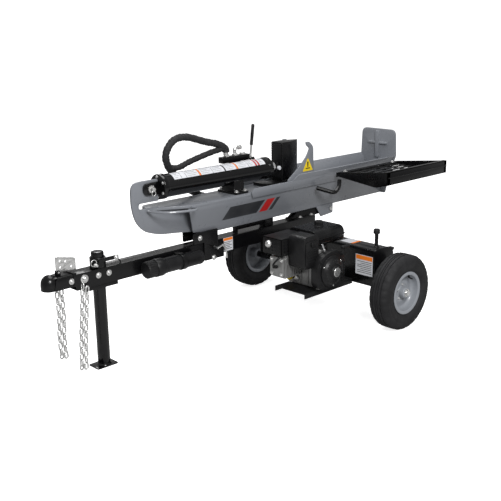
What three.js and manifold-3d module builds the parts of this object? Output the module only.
// Towable hydraulic log splitter with a tilting beam, an engine-driven pump and a log table.
// Millimetres. +X runs from the coupler to the foot plate, +Y away from the engine, +Z up.
// Shapes are laid out from the tongue's centreline and the wheel axle, then the whole group
// is shifted so that the origin is at the middle of the machine's footprint, on the ground.
import * as THREE from 'three';
import { mergeVertices } from 'three/addons/utils/BufferGeometryUtils.js';
import Module from 'manifold-3d';

const wasm = await Module();
wasm.setup();

// ---------- driving dimensions ----------
const GAP = 0.3; // air between touching pieces

const NOSE_X = -1667;
const REAR_X = 742;

const WHEEL = { nearY: -719, farY: 382, z: 202, radius: 202, halfWidth: 60 };
const HUB = { half: 46, radius: 30, bore: 13.05, rimRadius: 101.4, flangeRadius: 114.5 };
const AXLE = { radius: 12.7, shoulder: 19 };

const TONGUE = { front: -1515, rear: 98, half: 38.5, wall: 6, bottom: 410.7, top: 487.7 };
const JACK = { x: -1372, radius: 30, wall: 4, top: 562 };
const BALL = { x: -1628, z: 464, domeRadius: 39, socketRadius: 25.4, rim: 434 };

const BEAM = { bottom: 530, flangeTop: 710, flangeThick: 14, flangeHalf: 94, webHalf: 6 };
const FOOT = { front: 728, top: 930 };
const BEAM_END = FOOT.front - GAP;
const PIVOT = { x: 240, z: 506, pin: 9.5, eye: 22 };

const CYL = { z: 809, radius: 57.15, bore: 45, base: -1008, end: -266, rod: 22, pinX: -1062 };
const WEDGE = { front: -182, shoulder: -105, edge: -19, half: 38.6, top: 940 };
const SLIDE_PLATE = { front: -305, half: 63, top: 727 };

const TANK = { front: -60, rear: 100, bottom: 205, top: 410, near: -594, far: 260, wall: 4 };
const FILLER = { x: 7, y: -555, radius: 10 };
const CRANK = { x: -290, z: 330 };
const DECK = { front: -442, near: -450, far: -235, top: 228 };
const CRANKCASE = { front: -338, rear: -190, near: -450, far: -235, top: 400 };

const TABLE = { front: 163, rear: 735, inner: -137, outer: -500, top: 742, lip: 783 };
const CANISTER = { y: -89, z: 441, radius: 37, collar: 44, cap: 41.5 };
const VALVE_Y = 62;
const HOSE_RADIUS = 19;

// ---------- finishes ----------
const FINISH = {
  grey: { color: 0x85898d, roughness: 0.35, metalness: 0.2 },
  black: { color: 0x17181a, roughness: 0.45, metalness: 0.1 },
  satin: { color: 0x1d1e20, roughness: 0.6, metalness: 0.1 },
  chrome: { color: 0xd0d2d4, roughness: 0.12, metalness: 1 },
  zinc: { color: 0xb9bbbd, roughness: 0.35, metalness: 0.9 },
  plastic: { color: 0x141415, roughness: 0.55, metalness: 0 },
  rubber: { color: 0x1a1a1b, roughness: 0.85, metalness: 0 },
  tyre: { color: 0x1c1c1d, roughness: 0.9, metalness: 0 },
  rim: { color: 0xa6a9ac, roughness: 0.4, metalness: 0.3 },
  casting: { color: 0x9a9c9e, roughness: 0.55, metalness: 0.7 },
  yellow: { color: 0xd8c020, roughness: 0.5, metalness: 0 },
};

// ---------- shape tools ----------
const splitter = new THREE.Group();

function toSolid(geometry) {
  geometry.deleteAttribute('normal');
  geometry.deleteAttribute('uv');
  const merged = mergeVertices(geometry, 1e-3);
  const vertProperties = new Float32Array(merged.attributes.position.array);
  const triVerts = new Uint32Array(merged.index.array);
  return new wasm.Manifold(new wasm.Mesh({ numProp: 3, vertProperties, triVerts }));
}

function join(first, ...rest) {
  return rest.reduce((whole, piece) => whole.add(piece), first);
}

function cut(first, ...rest) {
  return rest.reduce((whole, piece) => whole.subtract(piece), first);
}

function add(name, solid, finish) {
  const { vertProperties, triVerts } = solid.getMesh();
  const geometry = new THREE.BufferGeometry();
  geometry.setAttribute('position', new THREE.BufferAttribute(vertProperties, 3));
  geometry.setIndex(new THREE.BufferAttribute(triVerts, 1));
  geometry.computeVertexNormals();
  const mesh = new THREE.Mesh(geometry, new THREE.MeshStandardMaterial(finish));
  mesh.name = name;
  splitter.add(mesh);
}

function box([x0, x1], [y0, y1], [z0, z1]) {
  const geometry = new THREE.BoxGeometry(x1 - x0, y1 - y0, z1 - z0);
  return toSolid(geometry.translate((x0 + x1) / 2, (y0 + y1) / 2, (z0 + z1) / 2));
}

function rod(from, to, radius, sides = 16) {
  const start = new THREE.Vector3(...from);
  const span = new THREE.Vector3(...to).sub(start);
  const geometry = new THREE.CylinderGeometry(radius, radius, span.length(), sides);
  const turn = new THREE.Quaternion();
  turn.setFromUnitVectors(new THREE.Vector3(0, 1, 0), span.clone().normalize());
  const middle = start.addScaledVector(span, 0.5);
  return toSolid(geometry.applyQuaternion(turn).translate(middle.x, middle.y, middle.z));
}

function ball([x, y, z], radius, sides = 12) {
  return toSolid(new THREE.SphereGeometry(radius, sides, sides / 2).translate(x, y, z));
}

// A closed outline; a third number on a corner is its rounding.
function outline(corners) {
  const shape = new THREE.Shape();
  corners.forEach(([x, y, round = 0], index) => {
    const before = corners.at(index - 1);
    const after = corners[(index + 1) % corners.length];
    const here = new THREE.Vector2(x, y);
    const towards = ([px, py]) => here.clone().add(
      new THREE.Vector2(px - x, py - y).setLength(round));
    const start = round ? towards(before) : here;
    if (index === 0) shape.moveTo(start.x, start.y);
    else shape.lineTo(start.x, start.y);
    if (round) {
      const end = towards(after);
      shape.quadraticCurveTo(x, y, end.x, end.y);
    }
  });
  return shape;
}

function extruded(corners, depth) {
  const shape = outline(corners);
  return new THREE.ExtrudeGeometry(shape, { depth, bevelEnabled: false, curveSegments: 5 });
}

// Plates cut from an outline and standing across X, Y or Z.
function plateX(corners, x0, x1) {
  const upright = new THREE.Matrix4().makeBasis(
    new THREE.Vector3(0, 1, 0), new THREE.Vector3(0, 0, 1), new THREE.Vector3(1, 0, 0));
  return toSolid(extruded(corners, x1 - x0).applyMatrix4(upright).translate(x0, 0, 0));
}

function plateY(corners, y0, y1) {
  return toSolid(extruded(corners, y1 - y0).rotateX(Math.PI / 2).translate(0, y1, 0));
}

function plateZ(corners, z0, z1) {
  return toSolid(extruded(corners, z1 - z0).translate(0, 0, z0));
}

// A body turned about a line along Y: profile pairs are radius and distance along that line.
function turned(profile, [x, y, z], sides) {
  const points = profile.map(([radius, along]) => new THREE.Vector2(radius, along));
  return toSolid(new THREE.LatheGeometry(points, sides).translate(x, y, z));
}

function sweep(points, radius, sides = 8, steps = 24) {
  const path = new THREE.CatmullRomCurve3(points.map((point) => new THREE.Vector3(...point)));
  const section = new THREE.Shape();
  for (let side = 0; side < sides; side += 1) {
    const angle = (2 * Math.PI * side) / sides;
    const corner = [radius * Math.cos(angle), radius * Math.sin(angle)];
    if (side === 0) section.moveTo(...corner);
    else section.lineTo(...corner);
  }
  section.closePath();
  return toSolid(new THREE.ExtrudeGeometry(section, { extrudePath: path, steps }));
}

// ---------- wheels ----------
const TYRE_PROFILE = [
  [102, -46], [115, -46.5], [150, -WHEEL.halfWidth], [180, -58], [198, -42],
  [WHEEL.radius, 0], [198, 42], [180, 58], [150, WHEEL.halfWidth], [115, 46.5], [102, 46],
  [102, -46],
];

function rimProfile(outward) {
  const { half, radius, bore, rimRadius, flangeRadius } = HUB;
  const lip = 52;
  const well = rimRadius - 5;
  const profile = [
    [bore, -half], [bore, half], [radius, half], [radius, 14], [80, 8], [well, 22], [well, lip],
    [flangeRadius, lip], [flangeRadius, 47.5], [rimRadius, 47], [rimRadius, -47],
    [flangeRadius, -47.5], [flangeRadius, -lip], [well, -lip], [well, 14], [80, 0],
    [radius, 6], [radius, -half], [bore, -half],
  ];
  // A turned profile runs from low to high along its outside, so one side is reversed.
  return outward > 0 ? profile.reverse() : profile.map(([r, y]) => [r, -y]);
}

for (const [side, y, outward] of [['near', WHEEL.nearY, -1], ['far', WHEEL.farY, 1]]) {
  add(`tyre_${side}`, turned(TYRE_PROFILE, [0, y, WHEEL.z], 36), FINISH.tyre);
  add(`rim_${side}`, turned(rimProfile(outward), [0, y, WHEEL.z], 24), FINISH.rim);

  const tankEnd = (outward > 0 ? TANK.far : TANK.near - 6) + outward * GAP;
  const hubIn = y - outward * (HUB.half + GAP);
  const hubOut = y + outward * (HUB.half + GAP);
  const at = (distance) => [0, distance, WHEEL.z];
  add(`axle_${side}`, join(
    rod(at(tankEnd), at(hubIn), AXLE.shoulder),
    rod(at(tankEnd), at(hubOut + outward * 13), AXLE.radius),
    rod(at(hubOut), at(hubOut + outward * 3), 24),
    rod(at(hubOut), at(hubOut + outward * 12), 18, 6),
  ), FINISH.zinc);
}

// ---------- tongue, coupler and chains ----------
const { half: TW } = TONGUE;
const nearFace = -TW - GAP;
const inner = TW - TONGUE.wall;
add('tongue', cut(
  box([TONGUE.front, TONGUE.rear], [-TW, TW], [TONGUE.bottom, TONGUE.top]),
  box([TONGUE.front - 1, TONGUE.rear + 1], [-inner, inner],
    [TONGUE.bottom + TONGUE.wall, TONGUE.top - TONGUE.wall]),
  rod([JACK.x, 0, 400], [JACK.x, 0, 500], JACK.radius + 0.4, 28),
), FINISH.black);

add('coupler_body', cut(
  join(
    ball([BALL.x, 0, BALL.z], BALL.domeRadius, 20),
    plateZ([[BALL.x, -30], [-1560, -42], [TONGUE.front - GAP, -42], [TONGUE.front - GAP, 42],
      [-1560, 42], [BALL.x, 30]], BALL.rim, 495),
  ),
  box([-1700, -1500], [-60, 60], [400, BALL.rim]),
  ball([BALL.x, 0, 454], BALL.socketRadius, 16),
  rod([BALL.x, 0, 420], [BALL.x, 0, 454], BALL.socketRadius, 16),
  box([-1590, -1480], [-34, 34], [400, 487]),
), FINISH.black);

add('coupler_latch', cut(
  plateY([[-1590, 509, 6], [-1590, 578, 10], [-1490, 557, 10], [-1490, 497, 6]], -4, 4),
  rod([-1568, -9, 556], [-1568, 9, 556], 6, 12),
  rod([-1540, -9, 549], [-1540, 9, 549], 6, 12),
  rod([-1568, -9, 526], [-1568, 9, 526], 6, 12),
  rod([-1512, -9, 520], [-1512, 9, 520], 6, 12),
), FINISH.zinc);

add('chain_bolt', join(
  rod([-1473, nearFace, 459], [-1473, nearFace - 4, 459], 20),
  rod([-1473, nearFace, 459], [-1473, nearFace - 15, 459], 12, 6),
), FINISH.zinc);

const CHAIN_RADIUS = 10;
add('chain_front', sweep(
  [[-1575, 15, 430], [-1572, 15, 300], [-1578, 15, 190], [-1574, 15, 80]], CHAIN_RADIUS, 8, 8,
), FINISH.zinc);
add('chain_rear', sweep(
  [[-1480, -52, 436], [-1490, -52, 340], [-1506, -52, 190], [-1515, -52, 25]],
  CHAIN_RADIUS, 8, 8,
), FINISH.zinc);

// ---------- jack ----------
add('jack_plate', cut(
  box([-1471, -1292], [-TW, TW], [394, TONGUE.bottom - GAP]),
  rod([JACK.x, 0, 380], [JACK.x, 0, 420], JACK.radius + 0.4, 28),
), FINISH.black);

const SLEEVE_TOP = 536;
const sleeveFoot = TONGUE.top + GAP;
add('jack_sleeve', cut(
  join(
    rod([JACK.x, 0, sleeveFoot], [JACK.x, 0, SLEEVE_TOP], 37, 28),
    box([-1428, JACK.x], [-40, -24], [498, 526]),
    box([-1395, -1286], [-46, -34], [518, SLEEVE_TOP]),
  ),
  rod([JACK.x, 0, 480], [JACK.x, 0, 545], JACK.radius + 0.4, 28),
), FINISH.black);

add('jack_leg', cut(
  join(
    rod([JACK.x, 0, 2], [JACK.x, 0, JACK.top], JACK.radius, 28),
    plateZ([[-1434, -40.5, 12], [-1318, -40.5, 12], [-1318, 40.5, 12], [-1434, 40.5, 12]], 0, 5),
  ),
  rod([JACK.x, 0, 5], [JACK.x, 0, JACK.top + 1], JACK.radius - JACK.wall, 28),
), FINISH.black);

const PIN_Z = 512;
add('jack_pin', join(
  rod([-1415, -40 - GAP, PIN_Z], [-1415, -62, PIN_Z], 6, 16),
  rod([-1415, -54, PIN_Z], [-1447, -54, 543], 3, 8),
  ball([-1447, -54, 543], 8, 12),
), FINISH.zinc);

// ---------- manual canister ----------
const canisterRod = (x0, x1, radius) => rod(
  [x0, CANISTER.y, CANISTER.z], [x1, CANISTER.y, CANISTER.z], radius, 28);
add('canister', join(
  canisterRod(-1119, -1070, CANISTER.collar),
  canisterRod(-1070, -826, CANISTER.radius),
), FINISH.plastic);
add('canister_cap', canisterRod(-1170, -1119 - GAP, CANISTER.cap), FINISH.plastic);
add('canister_bracket', cut(
  join(
    canisterRod(-965, -935, CANISTER.radius + 5),
    box([-965, -935], [-75, nearFace], [TONGUE.bottom + 8, TONGUE.top - 8]),
  ),
  canisterRod(-970, -930, CANISTER.radius + GAP),
), FINISH.black);

// ---------- beam latch, rest and pivot on the tongue ----------
const LATCH = { x: -679, z: 448, plate: 7 };
const latchNear = [[-830, 491, 8], [-830, 548, 8], [-669, 550, 8], [-669, 476], [-629, 476, 6],
  [-629, 393, 6], [-762, 393, 6], [-762, 491]];
const latchFar = [[-830, 491, 8], [-830, 548, 8], [-669, 550, 8], [-669, 393], [-762, 393],
  [-762, 491]];
add('latch_bracket', cut(
  join(
    plateY(latchNear, nearFace - LATCH.plate, nearFace),
    plateY(latchFar, TW + GAP, TW + GAP + LATCH.plate),
    box([-762, -669], [nearFace - 1, TW + GAP + 1], [397, TONGUE.bottom - GAP]),
  ),
  rod([LATCH.x, -60, LATCH.z], [LATCH.x, -30, LATCH.z], 6.5, 16),
), FINISH.black);
add('latch_pin', join(
  rod([LATCH.x, -58, LATCH.z], [LATCH.x, nearFace - 0.5, LATCH.z], 6, 16),
  rod([LATCH.x, -54, LATCH.z], [-643, -54, 459], 5, 8),
  rod([-643, -54, 459], [-623, -54, 434], 5, 8),
  rod([-623, -54, 434], [-617, -54, 383], 5, 8),
  ball([-643, -54, 459], 5.2, 8),
  ball([-623, -54, 434], 5.2, 8),
), FINISH.zinc);

const restTop = BEAM.bottom - GAP;
add('beam_rest', join(
  cut(
    box([-300, -240], [-25, 25], [sleeveFoot, restTop]),
    box([-292, -248], [-26, 26], [sleeveFoot + 6, restTop - 6]),
  ),
  box([-513, -299], [-12, 12], [504, 522]),
  box([-513, -495], [-12, 12], [sleeveFoot, 522]),
), FINISH.black);

const BRACKET_IN = 12;
const BRACKET_OUT = 20;
const eye = (y0, y1) => rod([PIVOT.x, y0, PIVOT.z], [PIVOT.x, y1, PIVOT.z], PIVOT.eye, 28);
const pinHole = (radius) => rod([PIVOT.x, -60, PIVOT.z], [PIVOT.x, 60, PIVOT.z], radius, 24);
function bracketPlate(y0, y1) {
  const blade = [[-78, sleeveFoot], [-78, 498], [-40, 524], [PIVOT.x, 527.5],
    [PIVOT.x, 484.5], [101, sleeveFoot]];
  return join(plateY(blade, y0, y1), eye(y0, y1));
}
add('pivot_bracket', cut(
  join(
    bracketPlate(-BRACKET_OUT, -BRACKET_IN),
    bracketPlate(BRACKET_IN, BRACKET_OUT),
    box([-78, 96], [-36, 36], [sleeveFoot, 494]),
  ),
  pinHole(PIVOT.pin + GAP),
), FINISH.black);
add('pivot_pin', join(
  rod([PIVOT.x, -38, PIVOT.z], [PIVOT.x, 38, PIVOT.z], PIVOT.pin, 24),
  rod([PIVOT.x, -40, PIVOT.z], [PIVOT.x, -31.5, PIVOT.z], 14, 6),
  rod([PIVOT.x, 31.5, PIVOT.z], [PIVOT.x, 40, PIVOT.z], 14, 6),
), FINISH.zinc);

// ---------- reservoir, which is also the axle ----------
function tankOutline(inset) {
  const { front, rear, bottom, top } = TANK;
  return [[front + inset, bottom + inset, 14], [rear - inset, bottom + inset, 30],
    [rear - inset, top - inset, 60 - inset], [front + inset, top - inset, 16 - inset]];
}
const fillerRod = (z0, z1, radius) => rod(
  [FILLER.x, FILLER.y, z0], [FILLER.x, FILLER.y, z1], radius, 20);
add('reservoir', cut(
  join(
    plateY(tankOutline(0), TANK.near, TANK.far),
    plateY(tankOutline(-3), TANK.near - 6, TANK.near),
    fillerRod(TANK.top - 8, 485, FILLER.radius),
    box([80, 105], [TANK.near - 6, TANK.near + 20], [385, 400]),
  ),
  plateY(tankOutline(TANK.wall), TANK.near + TANK.wall, TANK.far - TANK.wall),
  fillerRod(TANK.top - 12, 490, FILLER.radius - 2),
), FINISH.black);
add('filler_cap', join(
  fillerRod(485 + GAP, 510, 18),
  fillerRod(470, 490, FILLER.radius - 2.5),
), FINISH.plastic);

// ---------- engine and pump ----------
const crankRod = (y0, y1, radius, sides) => rod(
  [CRANK.x, y0, CRANK.z], [CRANK.x, y1, CRANK.z], radius, sides);

const deckRear = TANK.front - GAP;
add('engine_plate', join(
  box([DECK.front, deckRear], [DECK.near, DECK.far], [DECK.top - 6, DECK.top]),
  box([DECK.front, deckRear], [DECK.near, DECK.near + 6], [200, DECK.top]),
  box([DECK.front, deckRear], [DECK.far - 6, DECK.far], [200, DECK.top]),
), FINISH.satin);

add('crankcase', join(
  plateY([[CRANKCASE.front, DECK.top + GAP, 8], [CRANKCASE.rear, DECK.top + GAP, 8],
    [CRANKCASE.rear, CRANKCASE.top, 40], [CRANKCASE.front, CRANKCASE.top, 20]],
  CRANKCASE.near, CRANKCASE.far),
  box([-290, -200], [-390, -310], [CRANKCASE.top - 10, 436]),
), FINISH.casting);

const HEAD_REAR = CRANKCASE.front - GAP;
const finCuts = [0, 1, 2, 3, 4, 5].map((index) => {
  const x = -448 + index * 16;
  return box([x, x + 7], [-345, -315], [280, 430]);
});
add('cylinder_head', cut(
  box([-465, HEAD_REAR], [-338, -238], [290, 415]),
  ...finCuts,
), FINISH.casting);

add('blower_housing', plateY([[-398, 240, 60], [-180, 240, 60], [-180, 428, 80],
  [-300, 434, 40], [-398, 400, 60]], -495, CRANKCASE.near - GAP), FINISH.plastic);

add('recoil_cover', turned([[0, -535], [30, -534], [52, -528], [66, -515], [72, -504],
  [83, -503], [83, -495 - GAP], [0, -495 - GAP]], [CRANK.x, 0, CRANK.z], 28),
FINISH.plastic);

add('recoil_handle', join(
  rod([-230, -512, 446], [-170, -512, 446], 10, 14),
  rod([-200, -512, 402], [-200, -512, 446], 4, 10),
), FINISH.plastic);

add('air_cleaner', plateY([[-451, 357, 18], [CRANKCASE.front - GAP, 357, 18],
  [CRANKCASE.front - GAP, 528, 30], [-451, 528, 30]], -450, -342), FINISH.plastic);

add('muffler_guard', cut(
  box([-500, -305], [-338, -202], [419, 506]),
  box([-495, -310], [-333, -207], [415, 501]),
), FINISH.satin);

add('fuel_tank', plateX([[-400, 437, 24], [-200, 437, 24], [-200, 520, 34], [-400, 520, 34]],
  -300, -76), FINISH.black);
add('fuel_cap', rod([-170, -300, 520 + GAP], [-170, -300, 545], 24, 24), FINISH.plastic);

add('oil_plug', join(
  rod([HEAD_REAR, -262, 262], [-352, -262, 262], 11, 16),
  rod([-352, -262, 262], [-366, -262, 262], 16, 6),
), FINISH.yellow);

add('throttle_lever', join(
  rod([-318, -474, 440], [-318, -464, 440], 7, 14),
  plateY([[-322, 440], [-314, 440], [-330, 478, 3], [-340, 476, 3]], -471, -467),
), FINISH.chrome);

add('pump', join(
  crankRod(CRANKCASE.far + GAP, -205, 60, 28),
  crankRod(-205, -128, 46, 28),
  rod([CRANK.x, -165, CRANK.z], [CRANK.x, -165, CRANK.z + 70], 16, 16),
), FINISH.satin);

// ---------- beam ----------
const webTop = BEAM.flangeTop - BEAM.flangeThick - GAP;
const webFloor = BEAM.bottom + 6 + GAP;
const NOTCH = { front: -1128, low: 715, high: 743, rear: -1010 };
const webOutline = [
  [-1170, 850, 50], [NOTCH.rear, 850, 6], [NOTCH.rear, NOTCH.high], [NOTCH.front, NOTCH.high, 13],
  [NOTCH.front, NOTCH.low, 13], [NOTCH.rear, NOTCH.low], [NOTCH.rear, webTop],
  [BEAM_END, webTop], [BEAM_END, webFloor], [-625, webFloor], [-633, BEAM.bottom],
  [-829, 553, 60], [-1014, 573, 40], [-1100, 600, 34], [-1150, 655, 34], [-1170, 730, 34],
];
add('beam_web', cut(
  plateY(webOutline, -BEAM.webHalf, BEAM.webHalf),
  rod([CYL.pinX, -10, CYL.z], [CYL.pinX, 10, CYL.z], 10.3, 20),
), FINISH.grey);

const nearEdge = [[-1066, -3], [-1013, -14], [-963, -41], [-897, -78, 20],
  [-860, -BEAM.flangeHalf, 20]];
const farEdge = [[-1034, BEAM.flangeHalf, 16], [-1060, 66, 16], [-1066, 3]];
add('beam_flange', cut(
  plateZ([
    ...nearEdge, [BEAM_END, -BEAM.flangeHalf], [BEAM_END, BEAM.flangeHalf], ...farEdge,
  ], BEAM.flangeTop - BEAM.flangeThick, BEAM.flangeTop),
  box([-1100, NOTCH.rear + GAP], [-BEAM.webHalf - GAP, BEAM.webHalf + GAP], [690, 720]),
), FINISH.grey);

const hullOuter = [[92, webTop], [85, 670], [42, 575], [25, BEAM.bottom]];
const hullInner = [[86, webTop], [79, 671], [36.5, 577], [21, BEAM.bottom + 6]];
const mirrored = (points) => points.map(([y, z]) => [-y, z]);
const hullSection = [
  ...hullOuter, ...mirrored(hullOuter).reverse(), ...mirrored(hullInner),
  ...hullInner.toReversed(),
];
const gusset = [[113, BEAM.bottom + 4], [157, 469], [262, 477, 10], [262, BEAM.bottom + 4]];
add('beam_hull', cut(
  join(plateX(hullSection, -900, BEAM_END), plateY(gusset, -31, -23), plateY(gusset, 23, 31)),
  plateY([[-1000, 500], [-796, 500], [-906, 720], [-1000, 720]], -120, 120),
  plateY([[-860, 520], [-860, 556.6], [-633, BEAM.bottom], [-633, 520]], -120, 120),
  box([-900, -619], [-BEAM.webHalf - GAP, BEAM.webHalf + GAP], [500, 560]),
  pinHole(PIVOT.pin + GAP),
), FINISH.grey);

// The log cradle's sides: a low strip along the flange that flares outwards near the foot plate.
const lowStrip = [[100, 684.5], [112, 735], [106.3, 736.4], [94.3, 685.9]];
const flare = [[112, 735], [131, 769], [126, 771.8], [106.3, 736.4]];
const STRIP_FRONT = -480;
const FLARE_FRONT = -170;
for (const [side, sign] of [['near', -1], ['far', 1]]) {
  const across = (points) => points.map(([y, z]) => [sign * y, z]);
  const slant = [[-230, 736.6], [-230, 790], [-125, 790], [FLARE_FRONT, 736.6]];
  const corner = [[STRIP_FRONT - 5, 680], [STRIP_FRONT - 5, 740], [STRIP_FRONT + 12, 740],
    [STRIP_FRONT, 715], [STRIP_FRONT + 18, 680]];
  const reach = sign > 0 ? [90, 140] : [-140, -90];
  add(`wing_${side}`, cut(
    join(
      plateX(across(lowStrip), STRIP_FRONT, BEAM_END),
      plateX(across(flare), FLARE_FRONT, BEAM_END),
    ),
    plateY(slant, ...reach),
    plateY(corner, ...reach),
  ), FINISH.grey);

  const stripper = [[-190, BEAM.flangeTop + GAP], [22, BEAM.flangeTop + GAP], [16, 905, 16],
    [-18, 934, 10], [-46, 934, 6], [-40, 915, 6], [-16, 897, 8], [-34, 862, 20], [-77, 820],
    [-131, 780], [-188, 741, 6]];
  const [y0, y1] = sign > 0 ? [85, 92] : [-92, -85];
  add(`stripper_${side}`, plateY(stripper, y0, y1), FINISH.grey);
}

const footEdge = [[58, BEAM.bottom], [92, 660], [133, 770], [126, FOOT.top, 34]];
add('foot_plate', join(
  plateX([...footEdge, ...mirrored(footEdge).reverse().map(([y, z], i) => [y, z, i ? 0 : 34])],
    FOOT.front, REAR_X),
  box([FOOT.front - 15, FOOT.front + 1], [-13, 13], [755, 918]),
  box([FOOT.front - 12, FOOT.front + 1], [-70, 70], [838, 850]),
), FINISH.grey);

const LIFT_ROD = 6;
add('lift_handle', sweep([[-1085, -13, 703], [-1075, -50, 703], [-1040, -105, 703],
  [-970, -142, 703], [-905, -158, 703], [-882, -140, 703], [-880, -98, 703]], LIFT_ROD, 8, 18),
FINISH.grey);

// ---------- log table ----------
const sideOutline = [[TABLE.inner, TABLE.top], [TABLE.outer, TABLE.lip], [TABLE.outer, 711],
  [-420, 690, 12], [TABLE.inner, 722]];
const tableSides = [TABLE.front, TABLE.rear - 6].map((x) => plateX(sideOutline, x, x + 6));
const lengthBars = [-210, -280, -350, -420].map((y) => box(
  [TABLE.front + 3, TABLE.rear - 3], [y, y + 6], [718, 736]));
const crossBars = [1, 2, 3, 4].map((step) => {
  const x = TABLE.front + (step * (TABLE.rear - TABLE.front)) / 5;
  return box([x - 3, x + 3], [TABLE.outer + 3, TABLE.inner - 3], [720, 734]);
});
add('log_table', join(
  box([TABLE.front, TABLE.rear], [TABLE.inner - 6, TABLE.inner], [718, TABLE.top]),
  box([TABLE.front + 3, TABLE.rear - 3], [TABLE.outer + 1, TABLE.outer + 7],
    [713, TABLE.lip - 2]),
  ...tableSides, ...lengthBars, ...crossBars,
), FINISH.black);
const ARM_RADIUS = 12;
add('table_arm', sweep([[30, -107, 668], [70, -140, 652], [110, -172, 640], [145, -172, 664],
  [158, -166, 686], [165, -160, 702]], ARM_RADIUS, 8, 14), FINISH.black);

// ---------- hydraulic cylinder ----------
const EAR = { in: BEAM.webHalf + 1, out: 20, front: -1104, low: 780, high: 838 };
const ear = (y0, y1) => plateY([[EAR.front, EAR.low, 26], [-1000, EAR.low],
  [-1000, EAR.high], [EAR.front, EAR.high, 26]], y0, y1);
add('cylinder_barrel', cut(
  join(
    rod([CYL.base, 0, CYL.z], [-975, 0, CYL.z], 62, 28),
    rod([-976, 0, CYL.z], [CYL.end, 0, CYL.z], CYL.radius, 28),
    ear(-EAR.out, -EAR.in),
    ear(EAR.in, EAR.out),
  ),
  rod([-960, 0, CYL.z], [CYL.end + 1, 0, CYL.z], CYL.bore, 28),
  box([-1020, NOTCH.rear + 1], [-EAR.in, EAR.in], [760, 860]),
  rod([CYL.pinX, -30, CYL.z], [CYL.pinX, 30, CYL.z], 10.3, 20),
), FINISH.black);
add('cylinder_gland', cut(
  join(
    rod([-300, 0, CYL.z], [CYL.end, 0, CYL.z], CYL.bore - GAP, 28),
    rod([CYL.end + GAP, 0, CYL.z], [-256, 0, CYL.z], 50, 28),
    rod([CYL.end - 1, 0, CYL.z], [-260, 0, CYL.z], 40, 28),
  ),
  rod([-310, 0, CYL.z], [-250, 0, CYL.z], CYL.rod + GAP, 20),
), FINISH.black);
add('cylinder_pin', join(
  rod([CYL.pinX, -40, CYL.z], [CYL.pinX, 40, CYL.z], 10, 20),
  rod([CYL.pinX, -EAR.out - GAP, CYL.z], [CYL.pinX, -28, CYL.z], 17, 20),
), FINISH.zinc);

const plateFloor = BEAM.flangeTop + GAP;
add('cylinder_saddle', cut(
  join(
    box([-560, -470], [-72, 72], [plateFloor, 722]),
    box([-550, -480], [-48, 48], [721, 790]),
  ),
  rod([-570, 0, CYL.z], [-460, 0, CYL.z], CYL.radius + GAP, 28),
), FINISH.black);

// ---------- ram ----------
const PISTON = { front: -957, rear: -911 };
add('piston_rod', join(
  rod([PISTON.front, 0, CYL.z], [PISTON.rear, 0, CYL.z], CYL.bore - GAP, 28),
  rod([PISTON.rear - 1, 0, CYL.z], [WEDGE.front - GAP, 0, CYL.z], CYL.rod, 20),
  box([-218, WEDGE.front - GAP], [-26, 26], [CYL.z - 26, CYL.z + 26]),
), FINISH.chrome);
add('wedge', join(
  plateZ([[WEDGE.front, -WEDGE.half], [WEDGE.shoulder, -WEDGE.half], [WEDGE.edge, -1.5],
    [WEDGE.edge, 1.5], [WEDGE.shoulder, WEDGE.half], [WEDGE.front, WEDGE.half]],
  SLIDE_PLATE.top - 1, WEDGE.top),
  box([SLIDE_PLATE.front, WEDGE.edge - 10], [-SLIDE_PLATE.half, SLIDE_PLATE.half],
    [plateFloor, SLIDE_PLATE.top]),
), FINISH.black);

// ---------- control valve and hoses ----------
const valveRod = (x, z0, z1, radius) => rod([x, VALVE_Y, z0], [x, VALVE_Y, z1], radius, 16);
add('control_valve', join(
  box([-540, -345], [VALVE_Y - 16, VALVE_Y + 20], [858, 890]),
  rod([-346, VALVE_Y, 872], [-336, VALVE_Y, 872], 12, 16),
  valveRod(-505, 889, 912, 14),
  valveRod(-440, 889, 926, 14),
  box([-480, -400], [VALVE_Y - 4, VALVE_Y + 8], [842, 860]),
), FINISH.casting);

const LEVER = { x: -325, z: 872, lean: 0.133 };
const leverX = (z) => LEVER.x + LEVER.lean * (z - LEVER.z);
add('valve_lever', join(
  ball([LEVER.x, VALVE_Y, LEVER.z], 8, 16),
  rod([LEVER.x, VALVE_Y, LEVER.z], [leverX(936), VALVE_Y, 936], 5, 12),
  rod([leverX(933), VALVE_Y, 933], [leverX(1046), VALVE_Y, 1046], 9, 16),
), FINISH.plastic);

// One hose: over the cylinder from the valve, along the beam's far side to the tilt pivot,
// and from there down to the back of the reservoir. It is open at the pivot, where it flexes.
// A second strand goes back to the valve from the low point behind the cylinder.
const hoseOnBeam = [[-505, 62, 915], [-507, 62, 935], [-560, 61, 963], [-647, 60, 985],
  [-771, 60, 1021], [-850, 62, 1012], [-895, 68, 955], [-880, 80, 890], [-815, 100, 820],
  [-730, 122, 750], [-620, 132, 690], [-480, 134, 655], [-300, 134, 636], [-100, 133, 622],
  [80, 132, 612], [195, 132, 592], [240, 133, 560], [248, 134, 545], [248, 134, 530]];
const hoseOnFrame = [[248, 134, 474], [247, 136, 455], [242, 140, 427], [234, 143, 400],
  [202, 148, 355], [160, 152, 335], [125, 152, 330], [103.3, 152, 330]];
const hoseReturn = [[-884, 77, 900], [-862, 80, 876], [-815, 72, 872], [-751, 66, 893],
  [-633, 63, 920], [-560, 62, 932], [-507, 62, 938]];
add('hose_upper', join(
  sweep(hoseOnBeam, HOSE_RADIUS, 8, 36),
  sweep(hoseReturn, HOSE_RADIUS - 3, 8, 12),
), FINISH.rubber);
add('hose_lower', sweep(hoseOnFrame, HOSE_RADIUS, 8, 9), FINISH.rubber);

// Origin at the middle of the footprint, on the ground.
const middleX = (NOSE_X + REAR_X) / 2;
const middleY = (WHEEL.nearY + WHEEL.farY) / 2;
splitter.position.set(-middleX, -middleY, 0);

export default splitter;
